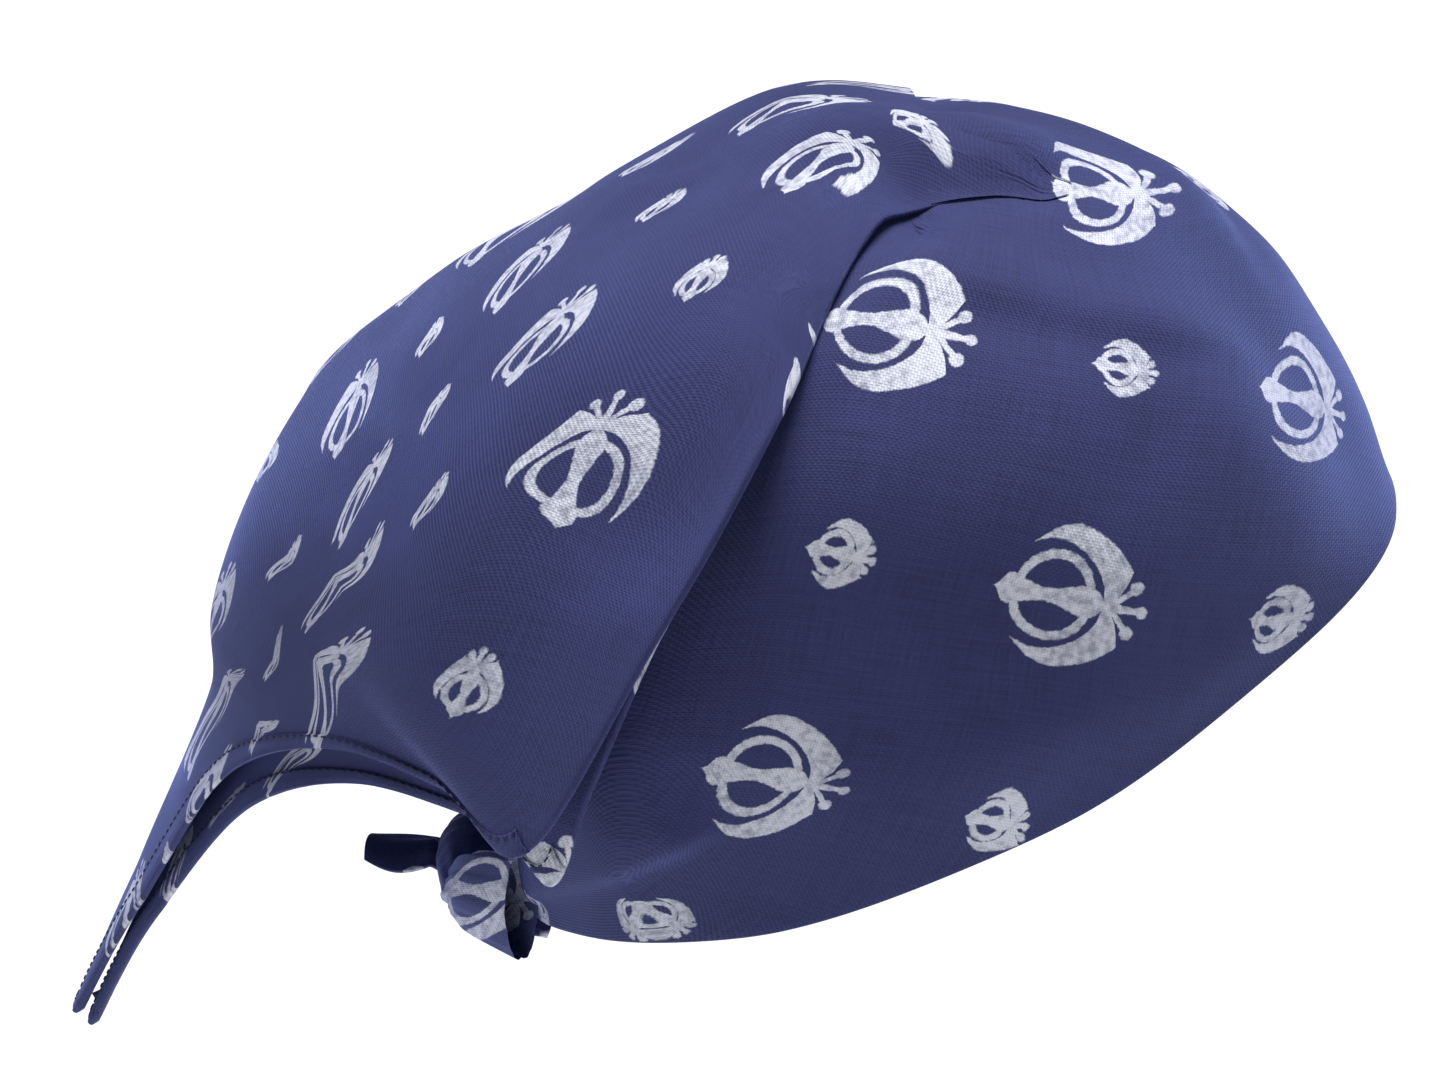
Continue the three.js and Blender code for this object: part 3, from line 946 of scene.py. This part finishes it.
# Hems: a strip of cloth round the free edges, and its stitches
def hem_path(grid):
    """Edge points with a unit step inward along the cloth, from one side of the flap round
    the hanging corner to the other side, and how far inward the hem may go."""
    first = int(hem_share * (len(grid) - 1))
    last = len(grid) - 1
    heart = grid[last - 3].mean(axis=0)
    edges, inward, most = [], [], []
    for r in range(first, last):
        width = lengths(grid[r])[-1]
        edges.append(grid[r, 0])
        inward.append(unit(grid[r, 3] - grid[r, 0]))
        most.append(0.3 * width)
    for c in range(0, grid.shape[1], 12):
        edges.append(grid[last, c])
        inward.append(unit(heart - grid[last, c]))
        most.append(0.4 * np.linalg.norm(heart - grid[last, c]))
    for r in range(last - 1, first - 1, -1):
        width = lengths(grid[r])[-1]
        edges.append(grid[r, -1])
        inward.append(unit(grid[r, -4] - grid[r, -1]))
        most.append(0.3 * width)
    return np.array(edges), np.array(inward), np.array(most)


def on_leaf(tree, point, lift):
    near, normal, _, _ = tree.find_nearest(Vector(point))
    return np.array(near) + np.array(normal) * lift


# The strip's upper side: how far inward, as a share of its width, and its height on the leaf.
# Then how far it stands out where it turns round the edge, and below the leaf.
HEM_PROFILE = [
    (1.0, -0.15), (0.96, 0.3), (0.9, 0.5), (0.6, 0.6), (0.3, 0.6), (0.1, 0.5), (0.0, 0.25),
]
HEM_RISE = 0.1
HEM_AROUND = 0.35
HEM_BELOW = 0.3
HEM_SHEET = 0.25


def hem_strip(name, grid, tree, lattice_uv, replaces):
    """The strip runs over the leaf's edge and turns round it."""
    edges, inward, most = hem_path(grid)
    reach = np.minimum(HEM_WIDTH, most)
    rows = []
    for back, lift in HEM_PROFILE:
        rows.append([
            on_leaf(tree, e + w * back * m, lift)
            for e, w, m in zip(edges, inward, reach)
        ])
    top = np.array(rows)
    normal = np.array([np.array(tree.find_nearest(Vector(e))[1]) for e in edges])
    below = []
    for a in (40, 80, 120, 160):
        turn = math.radians(a)
        centre = edges - normal * (HEM_RADIUS - HEM_RISE)
        r = HEM_RADIUS + HEM_AROUND
        below.append(centre + normal * r * math.cos(turn) - inward * r * math.sin(turn))
    for back in (0.25, 0.6, 0.9, 1.0):
        down = 2 * HEM_RADIUS + LEAF_WALL + (HEM_BELOW if back < 1 else 0.0)
        below.append(edges + inward * (back * reach)[:, None] - normal * down)
    strip = np.concatenate([top, np.array(below)])
    strip = np.swapaxes(strip, 0, 1)
    if np.dot(grid_normals(strip)[len(strip) // 3, 3], normal[len(strip) // 3]) < 0:
        strip = strip[::-1]
    return piece(
        name, strip, lattice_uv(strip), [NAVY_HEM], HEM_SHEET, replaces=replaces
    )


def capsule(p, q, radius):
    """Corners and faces of a short round bar with pointed ends."""
    way = unit(q - p)
    side = unit(np.cross(way, [0.3, 0.5, 0.8]))
    other = np.cross(way, side)
    ring = [math.cos(a) * side + math.sin(a) * other for a in np.linspace(0, 2 * math.pi, 7)[:-1]]
    long = np.linalg.norm(q - p)
    corners = [p]
    for share in (0.16, 0.84):
        corners += [p + way * long * share + radius * r for r in ring]
    corners.append(q)
    faces = [(0, 1 + (k + 1) % 6, 1 + k) for k in range(6)]
    faces += [(1 + k, 1 + (k + 1) % 6, 7 + (k + 1) % 6, 7 + k) for k in range(6)]
    faces += [(13, 7 + k, 7 + (k + 1) % 6) for k in range(6)]
    return corners, faces


def stitches(name, grid, tree):
    """A line of stitches by the hem's inner edge, on both faces of the cloth."""
    edges, inward, most = hem_path(grid)
    line = edges + inward * np.minimum(HEM_WIDTH - 0.7, most * 0.8)[:, None]
    along = lengths(line)
    corners, faces = [], []
    for start in np.arange(0, along[-1] - STITCH_LENGTH, STITCH_STEP):
        ends = []
        for s in (start, start + STITCH_LENGTH):
            ends.append(np.array([np.interp(s, along, line[:, axis]) for axis in range(3)]))
        for lift in (0.62, -(2 * HEM_RADIUS + LEAF_WALL + 0.25)):
            p, q = (on_leaf(tree, end, lift) for end in ends)
            here, more = capsule(p, q, STITCH_THICK / 2)
            faces += [tuple(len(corners) + k for k in face) for face in more]
            corners += here
    mesh = bpy.data.meshes.new(name)
    mesh.from_pydata((np.array(corners) * MM).tolist(), [], faces)
    mesh.polygons.foreach_set("use_smooth", [True] * len(mesh.polygons))
    mesh.materials.append(THREAD)
    obj = placed(name, mesh)
    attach(obj, "root")
    return obj


inner_tree = tree_of(inner)
hem_strip("outer_hem_strip", flap, flap_tree, flap_lattice, ["outer_hem"])
hem_strip("inner_hem_strip", inner, inner_tree, inner_lattice, ["inner_hem"])
stitches("outer_hem_stitches", flap, flap_tree)
stitches("inner_hem_stitches", inner, inner_tree)


# Ties, knot and ends
TIE_HALF_HEIGHT = 13.0
TIE_HALF_THICK = 5.0
TIE_SECTIONS = [
    (0.56, 0.737, 0.9, 1.0, 0.6, 0.7),
    (0.36, 0.893, 0.945, 0.8, 0.9, 0.4),
    (0.1885, KNOT_BACK, 1.0, 0.55, 1.0, 0.0),
]
TIE_SIDES = 144
TIE_STEPS = 60
TIE_PLEATS = [(0.075, 6, 0.0), (0.045, 11, 1.3), (0.02, 23, 0.4)]


def tube(name, rings, lattice, replaces):
    """A closed sleeve of cloth through rings of points."""
    grid = np.array([np.concatenate([ring, ring[:1]]) for ring in rings])
    return piece(name, grid, lattice(grid), [NAVY], 0, replaces=replaces)


def tie_rings(side):
    index = np.arange(len(TIE_SECTIONS), dtype=float)
    at = np.linspace(0, 1, TIE_STEPS + 1)
    table = np.array(TIE_SECTIONS)
    columns = [catmull(np.stack([index, column], axis=1), at)[:, 1] for column in table.T]
    turn = 2 * math.pi * np.arange(TIE_SIDES) / TIE_SIDES
    rings = []
    for step, (out, back, down, height, thick, lean) in enumerate(np.array(columns).T):
        gather = 0.35 + 0.65 * step / TIE_STEPS
        flute = 1 + sum(
            gather * depth * np.cos(count * turn + start + 0.6 * at[step])
            for depth, count, start in TIE_PLEATS
        )
        up = TIE_HALF_HEIGHT * height * np.sin(turn) * flute
        across = TIE_HALF_THICK * thick * np.cos(turn) * flute
        ring = np.stack([
            side * (CAP_HALF_WIDTH * out + across * lean),
            CAP_BACK * back + across,
            -CAP_DEPTH * down + up,
        ], axis=1)
        rings.append(ring[::-1] if side > 0 else ring)
    return rings


KNOT_AT = np.array([0, CAP_BACK * KNOT_BACK, -CAP_DEPTH])
KNOT_RINGS = 90


def knot_rings():
    rings = []
    turn = 2 * math.pi * np.arange(TIE_SIDES) / TIE_SIDES
    for r in range(KNOT_RINGS):
        lat = -math.pi / 2 + math.pi * (r + 0.5) / KNOT_RINGS
        over = 1 + KNOT_WRAP * math.cos(4 * lat)
        middle = math.exp(-(lat / 0.75) ** 2)
        pleats = 0.022 * np.cos(24 * lat + 1.2 * np.sin(turn)) * middle
        lobes = 0.035 * np.cos(9 * turn + 3 * lat) * (1 - middle)
        wrap = math.cos(lat) ** 0.6 * (over + pleats + lobes)
        rings.append(KNOT_AT + np.stack([
            np.full(TIE_SIDES, KNOT_HALF_WIDTH * math.sin(lat)),
            KNOT_HALF_DEPTH * np.cos(turn) * wrap,
            KNOT_HALF_HEIGHT * np.sin(turn) * wrap,
        ], axis=1))
    return rings


def ring_tree(rings):
    return tree_of(np.array([np.concatenate([ring, ring[:1]]) for ring in rings]))


knot_tree = ring_tree(knot_rings())
tie_places, tie_values = seen(knot_tree, TIE_PRINT)
low = [k for k, row in enumerate(CAP_PRINT) if row[1] <= -3]
tie_places = np.concatenate([tie_places, cap_places[low]])
tie_values = np.concatenate([tie_values, cap_values[low]])
near_lattice = Smooth(tie_places, tie_values)
far_lattice = Smooth(*mirrored(tie_places, tie_values))
tube("right_tie_band", tie_rings(-1), near_lattice, ["right_tie"])
tube("left_tie_band", tie_rings(1), far_lattice, ["left_tie"])
tube("knot_wraps", knot_rings(), near_lattice, ["knot"])

END_WALL = 2.4
END_NECK = 0.7
END_SHEET = 1.1
END_ROOT = 0.34
END_TUCK = 8.0
END_GAP = 0.3
BACK_TURN = math.radians(75.0)
FRONT_TURN = math.radians(-82.0)
BACK_AT = (0, KNOT_HALF_DEPTH * (1 + KNOT_WRAP) + END_GAP + END_WALL * math.cos(BACK_TURN), 0)
FRONT_AT = (0, 0, END_WALL * math.sin(FRONT_TURN) - KNOT_HALF_HEIGHT - END_GAP)
ENDS = [
    # name, node, length, width, curl, turn, and place from the knot's middle
    ("back_end_cloth", "back_end", 14.0, 15.0, 3.0, BACK_TURN, BACK_AT),
    ("front_end_cloth", "front_end", 15.0, 12.0, 1.0, FRONT_TURN, FRONT_AT),
]


def end_cloth(length, width, curl, turn, place):
    """A free end of the cloth, whose root runs on into the knot."""
    at = np.linspace(-END_ROOT, 1, 46)
    across = np.linspace(-1, 1, 41)
    half = (width / 2) * (END_NECK + (1 - END_NECK) * np.sin(math.pi * at))
    grid = np.zeros((len(at), len(across), 3))
    grid[..., 0] = half[:, None] * across
    grid[..., 1] = END_WALL * (1 - across**2) + curl * at[:, None] ** 2
    grid[..., 1] += 0.25 * np.sin(9 * across + 3 * at[:, None]) * (1 - at[:, None])
    grid[..., 1] -= END_TUCK * np.clip(-at[:, None] / END_ROOT, 0, 1) ** 1.5
    grid[..., 2] = -length * at[:, None]
    y, z = grid[..., 1].copy(), grid[..., 2].copy()
    grid[..., 1] = y * math.cos(turn) - z * math.sin(turn)
    grid[..., 2] = y * math.sin(turn) + z * math.cos(turn)
    return grid + KNOT_AT + np.array(place)


for name, node, length, width, curl, turn, place in ENDS:
    grid = end_cloth(length, width, curl, turn, place)
    obj = piece(name, grid, near_lattice(grid) + [0.5, 0.0], [NAVY], END_SHEET, replaces=[node])
    width * MM
    length * (1 + END_ROOT) * MM


# Camera, floor and light
camera_data = bpy.data.cameras.new("camera")
camera = placed("camera", camera_data)
camera.location = Vector((AIM + BACK * CAMERA_FAR) * MM)
camera.rotation_euler = Vector(BACK).to_track_quat("Z", "Y").to_euler()
camera_data.sensor_width = 36
camera_data.lens = 36 * CAMERA_FAR / (PICTURE[0] * PIXEL)
camera_data.clip_end = 20
bpy.context.scene.camera = camera

FLOOR_DOWN = -0.6
FLOOR_HALF = 6.0


def floor_material():
    material, tree, shader = new_material("pale_floor")
    place = tree.nodes.new("ShaderNodeNewGeometry")
    grain = noise(tree, place.outputs["Position"], 40.0, 3.0)
    colour = blend(tree, grain, (0.64, 0.64, 0.65), (0.7, 0.7, 0.7))
    tree.links.new(colour, shader.inputs["Base Color"])
    shader.inputs["Roughness"].default_value = 0.9
    return material


floor_mesh = bpy.data.meshes.new("floor")
floor_mesh.from_pydata([
    (-FLOOR_HALF, -FLOOR_HALF, FLOOR_DOWN), (FLOOR_HALF, -FLOOR_HALF, FLOOR_DOWN),
    (FLOOR_HALF, FLOOR_HALF, FLOOR_DOWN), (-FLOOR_HALF, FLOOR_HALF, FLOOR_DOWN),
], [], [(0, 1, 2, 3)])
floor_mesh.materials.append(floor_material())
floor = placed("floor", floor_mesh)


def lamp(name, place, aim, size, power, colour=(1, 1, 1)):
    data = bpy.data.lights.new(name, "AREA")
    data.shape = "DISK"
    data.size = size
    data.energy = power
    data.color = colour
    obj = placed(name, data)
    obj.location = place
    obj.rotation_euler = (Vector(place) - Vector(aim)).to_track_quat("Z", "Y").to_euler()


HEART = (0, 0, -0.08)
lamp("fill", (-1.8, -0.8, 0.4), HEART, 1.6, 2.5)
sun_data = bpy.data.lights.new("key", "SUN")
sun_data.energy = 5.2
sun_data.angle = math.radians(35)
sun = placed("key", sun_data)
sun.rotation_euler = Vector((0.28, 0.1, 1)).to_track_quat("Z", "Y").to_euler()

world = bpy.data.worlds.new("studio")
world.use_nodes = True
world.node_tree.nodes["Background"].inputs["Color"].default_value = (1, 1, 1, 1)
world.node_tree.nodes["Background"].inputs["Strength"].default_value = 0.14
bpy.context.scene.world = world
bpy.context.scene.view_settings.view_transform = "Standard"
